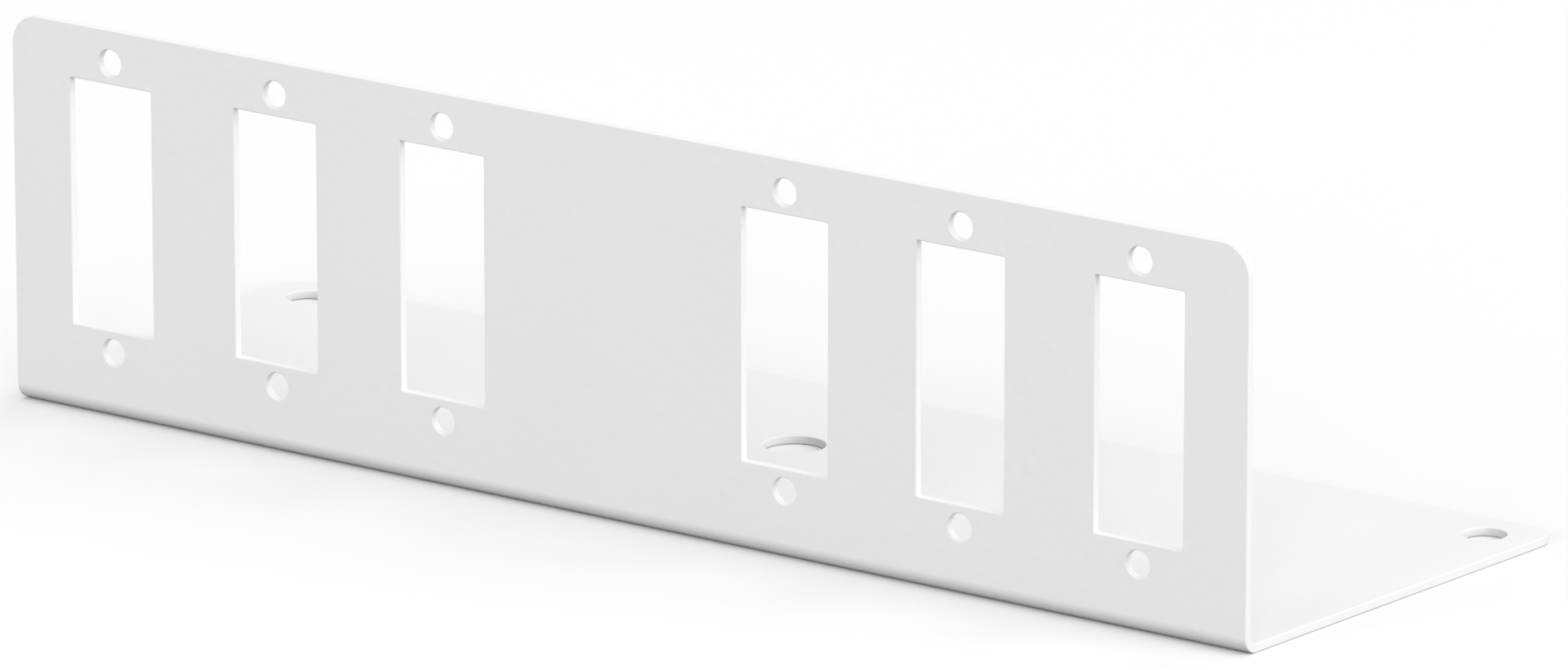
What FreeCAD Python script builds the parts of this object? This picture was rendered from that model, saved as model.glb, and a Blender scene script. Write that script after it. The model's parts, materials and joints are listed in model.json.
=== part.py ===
import FreeCAD, Part
import math
import os
import Sketcher

# Angle bracket: one sheet, folded once, that holds a row of upright connectors over a screw-down base.
# +X runs along the row, +Y from the plate's front face to the base's rear edge and +Z up, in millimetres.
# The finished bracket stands on z = 0 with its origin at the middle of its footprint.

doc = FreeCAD.newDocument("angle_bracket")

# Driving sizes
SIZES = {
    "sheet_thickness": 1.0,
    "bend_inner_radius": 1.0,
    "connector_pitch": 23.0,
    "connectors_each_side": 3,
    "plate_end_margin": 13.8,
    "cutout_width": 11.4,
    "screw_spacing": 33.3,
    "screw_hole_diameter": 3.1,
    "screw_web": 0.9,
    "lower_screw_height": 7.75,
    "plate_top_margin": 3.75,
    "plate_corner_radius": 3.5,
    "base_depth": 55.2,
    "base_flare": 3.8,
    "base_corner_radius": 3.0,
    "base_hole_diameter": 4.8,
    "base_hole_inset": 6.2,
    "base_hole_setback": 5.5,
    "middle_hole_diameter": 7.0,
    "middle_hole_setback": 21.5,
}

# Sizes that follow from the driving ones
FORMULAS = {
    "bend_outer_radius": "bend_inner_radius + sheet_thickness",
    "connector_run": "connector_pitch * (connectors_each_side - 1)",
    "plate_length": "2 * (connector_pitch * connectors_each_side + plate_end_margin)",
    "upper_screw_height": "lower_screw_height + screw_spacing",
    "plate_height": "upper_screw_height + plate_top_margin",
    "cutout_height": "screw_spacing - screw_hole_diameter - 2 * screw_web",
    "cutout_left": "connector_pitch - cutout_width / 2",
    "cutout_bottom": "lower_screw_height + screw_hole_diameter / 2 + screw_web",
    "base_rear_width": "plate_length + 2 * base_flare",
    "base_hole_side": "base_rear_width / 2 - base_hole_inset",
    "base_hole_back": "base_depth - base_hole_setback",
    "middle_hole_back": "base_depth - middle_hole_setback",
}

sizes = doc.addObject("Spreadsheet::Sheet", "sizes")
cells = {name: str(value) for name, value in SIZES.items()}
cells.update({name: "=" + formula for name, formula in FORMULAS.items()})
for number, (name, content) in enumerate(cells.items(), start=1):
    sizes.set(f"A{number}", name)
    sizes.setAlias(f"B{number}", name)
    sizes.set(f"B{number}", content)
doc.recompute()

body = doc.addObject("PartDesign::Body", "angle_bracket")
body.Label = "angle_bracket"

# How a sketch names its origin, its axes and the points of an element
ORIGIN = (-1, 1)
LEVEL_AXIS = -1
UPRIGHT_AXIS = -2
START = 1
END = 2
CENTRE = 3
SKETCH_NORMAL = FreeCAD.Vector(0, 0, 1)


def size(name):
    return float(sizes.get(name))


def origin_plane(role):
    return next(item for item in body.Origin.OriginFeatures if item.Role == role)


def sketch_on(role, name):
    sketch = body.newObject("Sketcher::SketchObject", name)
    sketch.AttachmentSupport = [(origin_plane(role), "")]
    sketch.MapMode = "FlatFace"
    return sketch


def add_line(sketch, start, end):
    return sketch.addGeometry(Part.LineSegment(FreeCAD.Vector(*start), FreeCAD.Vector(*end)))


def add_quarter_arc(sketch, centre, radius):
    circle = Part.Circle(FreeCAD.Vector(*centre), SKETCH_NORMAL, radius)
    return sketch.addGeometry(Part.ArcOfCircle(circle, math.pi, 1.5 * math.pi))


def add_polygon(sketch, corners):
    sides = []
    for start, end in zip(corners, corners[1:] + corners[:1]):
        sides.append(add_line(sketch, start, end))
    for side, following in zip(sides, sides[1:] + sides[:1]):
        constrain(sketch, "Coincident", side, END, following, START)
    return sides


def add_hole(sketch, across, up, diameter):
    place = FreeCAD.Vector(size(across), size(up))
    hole = sketch.addGeometry(Part.Circle(place, SKETCH_NORMAL, size(diameter) / 2))
    dimension(sketch, across, "DistanceX", *ORIGIN, hole, CENTRE)
    dimension(sketch, up, "DistanceY", *ORIGIN, hole, CENTRE)
    dimension(sketch, diameter, "Diameter", hole)


def constrain(sketch, kind, *places):
    return sketch.addConstraint(Sketcher.Constraint(kind, *places))


def dimension(sketch, name, kind, *places):
    number = constrain(sketch, kind, *places, size(name))
    sketch.setExpression(f"Constraints[{number}]", f"sizes.{name}")


def add_feature(kind, name, sketch):
    feature = body.newObject(f"PartDesign::{kind}", name)
    feature.Profile = sketch
    feature.Refine = True
    sketch.Visibility = False
    return feature


def edge_at(feature, x, y, z):
    # The name of the edge whose middle is at this point
    middle = FreeCAD.Vector(x, y, z)
    edges = enumerate(feature.Shape.Edges, start=1)
    return next(f"Edge{number}" for number, edge in edges if edge.CenterOfMass.isEqual(middle, 1e-4))


# Plate and bend: the section of the fold, drawn on the middle plane and run out to both ends of the plate
thickness = size("sheet_thickness")
height = size("plate_height")
inner_radius = size("bend_inner_radius")
outer_radius = size("bend_outer_radius")
section = sketch_on("YZ_Plane", "fold_section")
front = add_line(section, (0, outer_radius), (0, height))
top = add_line(section, (0, height), (thickness, height))
back = add_line(section, (thickness, height), (thickness, outer_radius))
inner_bend = add_quarter_arc(section, (outer_radius, outer_radius), inner_radius)
joint = add_line(section, (outer_radius, thickness), (outer_radius, 0))
outer_bend = add_quarter_arc(section, (outer_radius, outer_radius), outer_radius)
constrain(section, "Coincident", front, END, top, START)
constrain(section, "Coincident", top, END, back, START)
constrain(section, "Tangent", back, END, inner_bend, START)
constrain(section, "Coincident", inner_bend, END, joint, START)
constrain(section, "Coincident", joint, END, outer_bend, END)
constrain(section, "Tangent", outer_bend, START, front, START)
constrain(section, "Coincident", inner_bend, CENTRE, outer_bend, CENTRE)
constrain(section, "Vertical", inner_bend, CENTRE, inner_bend, END)
constrain(section, "Vertical", front)
constrain(section, "Vertical", back)
constrain(section, "Horizontal", top)
constrain(section, "Vertical", joint)
constrain(section, "PointOnObject", front, START, UPRIGHT_AXIS)
constrain(section, "PointOnObject", joint, END, LEVEL_AXIS)
dimension(section, "plate_height", "DistanceY", *ORIGIN, front, END)
dimension(section, "sheet_thickness", "DistanceX", top, START, top, END)
dimension(section, "bend_inner_radius", "Radius", inner_bend)
fold = add_feature("Pad", "fold", section)
fold.SideType = "Symmetric"
fold.setExpression("Length", "sizes.plate_length")

# Base: it leaves the bend at the plate's length and widens evenly to its rear edge
half_front = size("plate_length") / 2
half_rear = size("base_rear_width") / 2
depth = size("base_depth")
outline = sketch_on("XY_Plane", "base_outline")
base_corners = [
    (-half_front, outer_radius),
    (half_front, outer_radius),
    (half_rear, depth),
    (-half_rear, depth),
]
bend_line, right_side, rear_edge, left_side = add_polygon(outline, base_corners)
constrain(outline, "Symmetric", bend_line, START, bend_line, END, UPRIGHT_AXIS)
constrain(outline, "Symmetric", rear_edge, START, rear_edge, END, UPRIGHT_AXIS)
dimension(outline, "plate_length", "DistanceX", bend_line, START, bend_line, END)
dimension(outline, "base_rear_width", "DistanceX", rear_edge, END, rear_edge, START)
dimension(outline, "bend_outer_radius", "DistanceY", *ORIGIN, bend_line, START)
dimension(outline, "base_depth", "DistanceY", *ORIGIN, rear_edge, START)
base = add_feature("Pad", "base", outline)
base.setExpression("Length", "sizes.sheet_thickness")
doc.recompute()

# Rounded corners of the blank: two on the plate's top edge and two on the base's rear edge
plate_corners = body.newObject("PartDesign::Fillet", "plate_corners")
plate_corner_edges = [edge_at(base, side * half_front, thickness / 2, height) for side in (-1, 1)]
plate_corners.Base = (base, plate_corner_edges)
plate_corners.setExpression("Radius", "sizes.plate_corner_radius")
doc.recompute()
rear_corners = body.newObject("PartDesign::Fillet", "rear_corners")
rear_corner_edges = [edge_at(plate_corners, side * half_rear, depth, thickness / 2) for side in (-1, 1)]
rear_corners.Base = (plate_corners, rear_corner_edges)
rear_corners.setExpression("Radius", "sizes.base_corner_radius")
doc.recompute()

# Connector place: an upright cut-out between two screw holes, punched through the plate
place = sketch_on("XZ_Plane", "connector_outline")
left = size("cutout_left")
right = left + size("cutout_width")
bottom = size("cutout_bottom")
upper = bottom + size("cutout_height")
cutout_corners = [(left, bottom), (right, bottom), (right, upper), (left, upper)]
sill, right_jamb, head, left_jamb = add_polygon(place, cutout_corners)
for level_side in (sill, head):
    constrain(place, "Horizontal", level_side)
for upright_side in (right_jamb, left_jamb):
    constrain(place, "Vertical", upright_side)
dimension(place, "cutout_left", "DistanceX", *ORIGIN, sill, START)
dimension(place, "cutout_bottom", "DistanceY", *ORIGIN, sill, START)
dimension(place, "cutout_width", "DistanceX", sill, START, sill, END)
dimension(place, "cutout_height", "DistanceY", right_jamb, START, right_jamb, END)
add_hole(place, "connector_pitch", "lower_screw_height", "screw_hole_diameter")
add_hole(place, "connector_pitch", "upper_screw_height", "screw_hole_diameter")
connector = add_feature("Pocket", "connector_place", place)
connector.Type = "ThroughAll"
doc.recompute()

# Row of connector places: equal steps out from the blank middle, then the same on the other side
row = body.newObject("PartDesign::MultiTransform", "connector_row")
row.Originals = [connector]
row.Refine = True
steps = body.newObject("PartDesign::LinearPattern", "connector_steps")
steps.Direction = (place, ["H_Axis"])
steps.setExpression("Length", "sizes.connector_run")
steps.setExpression("Occurrences", "sizes.connectors_each_side")
other_side = body.newObject("PartDesign::Mirrored", "connector_other_side")
other_side.MirrorPlane = (origin_plane("YZ_Plane"), [""])
row.Transformations = [steps, other_side]
body.Tip = row
doc.recompute()

# Base holes: a screw hole in each rear corner and a larger hole on the middle line
corner_hole_outline = sketch_on("XY_Plane", "base_screw_outline")
add_hole(corner_hole_outline, "base_hole_side", "base_hole_back", "base_hole_diameter")
corner_hole = add_feature("Pocket", "base_screw_hole", corner_hole_outline)
corner_hole.Type = "ThroughAll"
corner_hole.Reversed = True
corner_holes = body.newObject("PartDesign::Mirrored", "base_screw_holes")
corner_holes.Originals = [corner_hole]
corner_holes.MirrorPlane = (origin_plane("YZ_Plane"), [""])
body.Tip = corner_holes
doc.recompute()

middle_outline = sketch_on("XY_Plane", "base_middle_outline")
middle_place = FreeCAD.Vector(0, size("middle_hole_back"))
middle_circle = middle_outline.addGeometry(
    Part.Circle(middle_place, SKETCH_NORMAL, size("middle_hole_diameter") / 2)
)
constrain(middle_outline, "PointOnObject", middle_circle, CENTRE, UPRIGHT_AXIS)
dimension(middle_outline, "middle_hole_back", "DistanceY", *ORIGIN, middle_circle, CENTRE)
dimension(middle_outline, "middle_hole_diameter", "Diameter", middle_circle)
middle_hole = add_feature("Pocket", "base_middle_hole", middle_outline)
middle_hole.Type = "ThroughAll"
middle_hole.Reversed = True

# The origin moves from the plate's front face to the middle of the footprint
body.setExpression("Placement.Base.y", "-sizes.base_depth / 2")
doc.recompute()

# Every feature is sound, and every cut takes metal away
for item in doc.Objects:
    if "Invalid" in item.State or "Error" in item.State:
        raise RuntimeError(f"{item.Name} did not build")
for cut in (connector, row, corner_hole, corner_holes, middle_hole):
    if cut.Shape.Volume >= cut.BaseFeature.Shape.Volume:
        raise RuntimeError(f"{cut.Name} cuts nothing")
if body.Shape.isNull() or not body.Shape.isValid() or len(body.Shape.Solids) != 1:
    raise RuntimeError("the bracket is not one sound solid")

os.makedirs("parts", exist_ok=True)
body.Shape.exportStep("parts/angle_bracket.step")
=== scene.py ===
import json
import math

import bmesh
import bpy
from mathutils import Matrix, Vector
from mathutils.geometry import tessellate_polygon


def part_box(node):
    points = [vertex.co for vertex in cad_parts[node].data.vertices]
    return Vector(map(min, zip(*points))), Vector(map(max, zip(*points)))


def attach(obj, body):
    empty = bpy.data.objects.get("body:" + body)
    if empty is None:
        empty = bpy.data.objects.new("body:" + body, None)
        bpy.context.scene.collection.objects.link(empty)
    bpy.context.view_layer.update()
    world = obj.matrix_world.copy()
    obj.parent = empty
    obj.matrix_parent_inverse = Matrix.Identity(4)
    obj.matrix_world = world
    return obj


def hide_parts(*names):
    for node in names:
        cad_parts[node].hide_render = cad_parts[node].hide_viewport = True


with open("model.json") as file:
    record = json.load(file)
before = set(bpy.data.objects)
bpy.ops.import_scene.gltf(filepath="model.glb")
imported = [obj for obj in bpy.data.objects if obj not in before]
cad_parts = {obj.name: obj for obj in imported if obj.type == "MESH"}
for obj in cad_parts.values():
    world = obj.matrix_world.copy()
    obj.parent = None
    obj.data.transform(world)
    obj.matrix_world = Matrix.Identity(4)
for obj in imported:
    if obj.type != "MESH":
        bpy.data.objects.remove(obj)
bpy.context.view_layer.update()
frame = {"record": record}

# Folded sheet
# The whole bracket is one piece of 1 mm steel sheet, cut flat with all its holes and then folded once
# over a small radius. The powder coat goes on last, and rounds off every cut edge.
sheet_thickness = 0.001
fold_outside_radius = 0.002
plate_half_length = 0.0828
plate_corner_radius = 0.0035
rear_half_width = 0.08659
rear_corner_radius = 0.003
cutout_half_width = 0.0057
cutout_half_height = 0.0142
cutout_corner_radius = 0.00022
coated_edge_radius = 0.00012
corner_steps = 14
cutout_corner_steps = 5
hole_steps = 56
fold_steps = 18
edge_steps = 4
quarter_turn = math.pi / 2
mm_per_metre = 1000
rectangle_corners = ((-1, -1), (1, -1), (1, 1), (-1, 1))

# Runs are measured along the flat blank, from the plate's top edge to the base's rear edge
lowest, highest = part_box("angle_bracket")
front_face = lowest.y
plate_run = highest.z - fold_outside_radius
fold_run = quarter_turn * (fold_outside_radius - sheet_thickness / 2)


def base_run(back):
    """The run to a place on the base."""
    return plate_run + fold_run + back - front_face - fold_outside_radius


def folded(across, run, depth):
    """Where a point of the blank lies after the fold, and which way the sheet runs and thickens there.

    Depth is measured from the plate's front face."""
    turn = min(max((run - plate_run) / fold_run, 0), 1) * quarter_turn
    # Less than 0 on the plate, 0 in the fold, more than 0 on the base
    past_fold = min(run - plate_run, 0) + max(run - plate_run - fold_run, 0)
    along = Vector((0, math.sin(turn), -math.cos(turn)))
    inward = Vector((0, math.cos(turn), math.sin(turn)))
    fold_axis = Vector((across, front_face + fold_outside_radius, fold_outside_radius))
    return fold_axis - inward * (fold_outside_radius - depth) + along * past_fold, along, inward


def side_normal(start, end):
    side = (end - start).normalized()
    return Vector((side.y, -side.x))


def corner_points(before, corner, after, radius, steps):
    """A rounded corner, as points with their directions out of it. No radius gives one point."""
    first = side_normal(before, corner)
    last = side_normal(corner, after)
    if radius == 0:
        return [(corner, (first + last).normalized())]
    centre = corner - (first + last) * radius / (1 + first.dot(last))
    points = []
    for step in range(steps + 1):
        outward = first.slerp(last, step / steps)
        points.append((centre + outward * radius, outward))
    return points


def outline(corners, steps):
    """A closed outline through (place, radius) corners, as points with their directions out of it."""
    points = []
    for number, (place, radius) in enumerate(corners):
        before = corners[number - 1][0]
        after = corners[(number + 1) % len(corners)][0]
        points += corner_points(before, place, after, radius, steps)
    return points


def opening(points):
    """The outline of an opening: the way out of the metal is into it."""
    return [(place, -outward) for place, outward in points]


def round_hole(across, run, radius):
    points = []
    for step in range(hole_steps):
        angle = 2 * math.pi * step / hole_steps
        outward = Vector((math.cos(angle), math.sin(angle)))
        points.append((Vector((across, run)) + outward * radius, outward))
    return opening(points)


def cutout(across, run):
    corners = []
    for side_across, side_run in rectangle_corners:
        place = Vector((across + side_across * cutout_half_width, run + side_run * cutout_half_height))
        corners.append((place, cutout_corner_radius))
    return opening(outline(corners, cutout_corner_steps))


# The blank's outline: the plate's two corners, the fold's right end, the base's two rear corners,
# the fold's left end
blank_run = base_run(highest.y)
fold_runs = [plate_run + fold_run * step / fold_steps for step in range(fold_steps + 1)]
blank_corners = [
    (Vector((-plate_half_length, 0)), plate_corner_radius),
    (Vector((plate_half_length, 0)), plate_corner_radius),
]
blank_corners += [(Vector((plate_half_length, run)), 0) for run in fold_runs]
blank_corners += [
    (Vector((rear_half_width, blank_run)), rear_corner_radius),
    (Vector((-rear_half_width, blank_run)), rear_corner_radius),
]
blank_corners += [(Vector((-plate_half_length, run)), 0) for run in reversed(fold_runs)]
blank = outline(blank_corners, corner_steps)

# The openings, at the places of the record's mounts
plate_openings = []
base_openings = []
for mount in frame["record"]["mounts"]:
    across, back, up = mount["pos_m"]
    sizes = mount["dims"]
    if mount["name"].startswith("connector"):
        run = highest.z - up
        reach = sizes["spacing_y_mm"] / 2 / mm_per_metre
        screw_radius = sizes["hole_r_mm"] / mm_per_metre
        plate_openings.append(cutout(across, run))
        for side in (-1, 1):
            plate_openings.append(round_hole(across, run + side * reach, screw_radius))
    elif mount["name"] == "base_screws":
        reach = sizes["spacing_x_mm"] / 2 / mm_per_metre
        screw_radius = sizes["hole_r_mm"] / mm_per_metre
        for side in (-1, 1):
            base_openings.append(round_hole(across + side * reach, base_run(back), screw_radius))
    elif mount["name"] == "base_middle_hole":
        base_openings.append(round_hole(across, base_run(back), sizes["r_mm"] / mm_per_metre))

# The section of a coated edge: a quarter round off the front face, the cut wall and a quarter round
# to the back face
edge_section = []
for face, facing in ((0, -1), (sheet_thickness, 1)):
    quarter = []
    for step in range(edge_steps + 1):
        lean = quarter_turn * step / edge_steps
        inset = coated_edge_radius * (1 - math.sin(lean))
        depth = face - facing * coated_edge_radius * (1 - math.cos(lean))
        quarter.append((inset, depth, math.sin(lean), facing * math.cos(lean)))
    if facing > 0:
        quarter.reverse()
    edge_section += quarter

mesh_builder = bmesh.new()
normals = []
edge_crests = []


def edge_rings(points):
    """The coated edge along an outline: one ring of vertices for each point of the edge's section."""
    rings = []
    for inset, depth, lean_out, lean_through in edge_section:
        # 1 in the middle of a quarter round, 0 on the flat face and on the cut wall
        crest = 2 * lean_out * abs(lean_through)
        ring = []
        for place, outward in points:
            flat = place - outward * inset
            position, along, inward = folded(flat.x, flat.y, depth)
            across_and_along = Vector((outward.x, 0, 0)) + along * outward.y
            ring.append(mesh_builder.verts.new(position))
            normals.append(across_and_along * lean_out + inward * lean_through)
            edge_crests.append(crest)
        rings.append(ring)
    for ring, following in zip(rings, rings[1:]):
        for number in range(len(ring)):
            corners = (ring[number - 1], ring[number], following[number], following[number - 1])
            mesh_builder.faces.new(corners)
    return rings


def flat_area(border, holes):
    """The flat metal between a border and the holes in it."""
    loops = [border, *holes]
    corners = sum(loops, [])
    triangles = []
    for triangle in tessellate_polygon([[vertex.co for vertex in loop] for loop in loops]):
        triangles.append(mesh_builder.faces.new([corners[number] for number in triangle]))
    inner_edges = []
    for face in triangles:
        for edge in face.edges:
            if edge not in inner_edges and all(neighbour in triangles for neighbour in edge.link_faces):
                inner_edges.append(edge)
    bmesh.ops.beautify_fill(mesh_builder, faces=triangles, edges=inner_edges, method="ANGLE")


blank_rings = edge_rings(blank)
plate_rings = [edge_rings(points) for points in plate_openings]
base_rings = [edge_rings(points) for points in base_openings]

# The first ring of an edge bounds the sheet's front face and the last its back face.
# The fold's right end follows the plate's two corners, and its left end closes the outline.
first_fold = 2 * (corner_steps + 1)
last_fold = first_fold + fold_steps
for face_ring in (0, -1):
    border = blank_rings[face_ring]
    right_fold = border[first_fold:last_fold + 1]
    left_fold = border[-fold_steps - 1:]
    plate_border = [left_fold[-1]] + border[:first_fold + 1]
    base_border = border[last_fold:len(border) - fold_steps]
    flat_area(plate_border, [rings[face_ring] for rings in plate_rings])
    flat_area(base_border, [rings[face_ring] for rings in base_rings])
    left_fold.reverse()
    for step in range(fold_steps):
        corners = (left_fold[step], right_fold[step], right_fold[step + 1], left_fold[step + 1])
        mesh_builder.faces.new(corners)
bmesh.ops.recalc_face_normals(mesh_builder, faces=mesh_builder.faces)

sheet_mesh = bpy.data.meshes.new("folded_sheet")
mesh_builder.to_mesh(sheet_mesh)
mesh_builder.free()
sheet_mesh.shade_smooth()
sheet_mesh.normals_split_custom_set_from_vertices([tuple(normal) for normal in normals])
sheet_mesh.attributes.new("edge_crest", "FLOAT", "POINT").data.foreach_set("value", edge_crests)
folded_sheet = bpy.data.objects.new("folded_sheet", sheet_mesh)
bpy.context.scene.collection.objects.link(folded_sheet)

coat_ior = 1.5
powder_coat = bpy.data.materials.new("powder_coat")
powder_coat.use_nodes = True
nodes = powder_coat.node_tree.nodes
links = powder_coat.node_tree.links
coat_shader = nodes["Principled BSDF"]
coat_shader.inputs["IOR"].default_value = coat_ior
place_on_sheet = nodes.new("ShaderNodeTexCoord")


def coat_noise(scale, detail):
    noise = nodes.new("ShaderNodeTexNoise")
    noise.inputs["Scale"].default_value = scale
    noise.inputs["Detail"].default_value = detail
    links.new(place_on_sheet.outputs["Object"], noise.inputs["Vector"])
    return noise.outputs["Fac"]


# Colour: the film's thickness wanders a little, which shows as the faintest cloudiness
darker_film = (0.82, 0.82, 0.82, 1)
lighter_film = (0.84, 0.84, 0.84, 1)
cloud = nodes.new("ShaderNodeMix")
cloud.data_type = "RGBA"
cloud.inputs["A"].default_value = darker_film
cloud.inputs["B"].default_value = lighter_film
links.new(coat_noise(scale=60, detail=3), cloud.inputs["Factor"])

# Edges: melting powder draws back from the crest of a cut edge, and the thinner film is a touch greyer
crest_film = (0.78, 0.78, 0.785, 1)
edge_crest = nodes.new("ShaderNodeAttribute")
edge_crest.attribute_name = "edge_crest"
thin_film = nodes.new("ShaderNodeMix")
thin_film.data_type = "RGBA"
thin_film.inputs["B"].default_value = crest_film
links.new(edge_crest.outputs["Fac"], thin_film.inputs["Factor"])
links.new(cloud.outputs["Result"], thin_film.inputs["A"])
links.new(thin_film.outputs["Result"], coat_shader.inputs["Base Color"])

# Sheen: matt, a little uneven
least_roughness = 0.66
most_roughness = 0.8
sheen = nodes.new("ShaderNodeMapRange")
sheen.inputs["To Min"].default_value = least_roughness
sheen.inputs["To Max"].default_value = most_roughness
links.new(coat_noise(scale=220, detail=2), sheen.inputs["Value"])
links.new(sheen.outputs["Result"], coat_shader.inputs["Roughness"])

# Surface: the soft orange peel of melted powder
peel_height = 0.00003
peel = nodes.new("ShaderNodeBump")
peel.inputs["Distance"].default_value = peel_height
links.new(coat_noise(scale=900, detail=0), peel.inputs["Height"])
links.new(peel.outputs["Normal"], coat_shader.inputs["Normal"])

sheet_mesh.materials.append(powder_coat)
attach(folded_sheet, "root")
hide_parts("angle_bracket")

# Floor
# A plain white studio sweep, matt, which the bracket stands on and which keeps its soft shadow.
# It shows white, but throws back little light, so that the plate isn't lit from below.
floor_half_size = 6
floor_drop = 0.00002
floor_bounce = (0.2, 0.2, 0.2, 1)
floor_white = (0.865, 0.865, 0.865, 1)
floor_corners = []
for side_across, side_back in rectangle_corners:
    floor_corners.append((side_across * floor_half_size, side_back * floor_half_size, -floor_drop))
floor_mesh = bpy.data.meshes.new("studio_floor")
floor_mesh.from_pydata(floor_corners, [], [(0, 1, 2, 3)])
studio_floor = bpy.data.objects.new("studio_floor", floor_mesh)
bpy.context.scene.collection.objects.link(studio_floor)
floor_paint = bpy.data.materials.new("floor_paint")
floor_paint.use_nodes = True
floor_nodes = floor_paint.node_tree.nodes
floor_links = floor_paint.node_tree.links
floor_shader = floor_nodes["Principled BSDF"]
ray = floor_nodes.new("ShaderNodeLightPath")


def either(one, other):
    larger = floor_nodes.new("ShaderNodeMath")
    larger.operation = "MAXIMUM"
    floor_links.new(one, larger.inputs[0])
    floor_links.new(other, larger.inputs[1])
    return larger.outputs["Value"]


seen = either(ray.outputs["Is Camera Ray"], ray.outputs["Is Glossy Ray"])
shown = either(seen, ray.outputs["Is Transmission Ray"])
floor_colour = floor_nodes.new("ShaderNodeMix")
floor_colour.data_type = "RGBA"
floor_colour.inputs["A"].default_value = floor_bounce
floor_colour.inputs["B"].default_value = floor_white
floor_links.new(shown, floor_colour.inputs["Factor"])
floor_links.new(floor_colour.outputs["Result"], floor_shader.inputs["Base Color"])
floor_shader.inputs["Roughness"].default_value = 1
floor_shader.inputs["Specular IOR Level"].default_value = 0
floor_mesh.materials.append(floor_paint)

# Light
# Soft studio light: an even white room, with large softboxes overhead, at the right and at the front,
# and a smaller one at the front right.
room_strength = 0.74
studio = bpy.data.worlds.new("studio")
bpy.context.scene.world = studio
studio.use_nodes = True
room = studio.node_tree.nodes["Background"]
room.inputs["Color"].default_value = (1, 1, 1, 1)
room.inputs["Strength"].default_value = room_strength


def softbox(name, place, size, power):
    lamp = bpy.data.lights.new(name, "AREA")
    lamp.shape = "SQUARE"
    lamp.size = size
    lamp.energy = power
    holder = bpy.data.objects.new(name, lamp)
    holder.location = place
    holder.rotation_euler = (-Vector(place)).to_track_quat("-Z", "Y").to_euler()
    bpy.context.scene.collection.objects.link(holder)


softbox("overhead_softbox", place=(0.6, 2.4, 4), size=3.2, power=18)
softbox("right_softbox", place=(4, 0.4, 1.4), size=3, power=111)
softbox("front_softbox", place=(-0.8, -4.4, 1.6), size=3.2, power=74)
softbox("front_right_softbox", place=(2.6, -3.2, 2.6), size=2.4, power=48)

# Camera
# It stands at the front right, a little above the bracket, with a long lens.
# Its place, dip and turn were fitted to the edges, corners and holes in the photo.
sensor_width = 36
lens_length = 315.69
camera_place = (0.85213, -1.17434, 0.42993)
camera_dip = 15.96
camera_turn = 35.87
camera_lens = bpy.data.cameras.new("camera")
camera_lens.sensor_fit = "HORIZONTAL"
camera_lens.sensor_width = sensor_width
camera_lens.lens = lens_length
camera = bpy.data.objects.new("camera", camera_lens)
camera.location = camera_place
camera.rotation_euler = (math.radians(90 - camera_dip), 0, math.radians(camera_turn))
bpy.context.scene.collection.objects.link(camera)
bpy.context.scene.camera = camera
bpy.context.scene.view_settings.view_transform = "Standard"
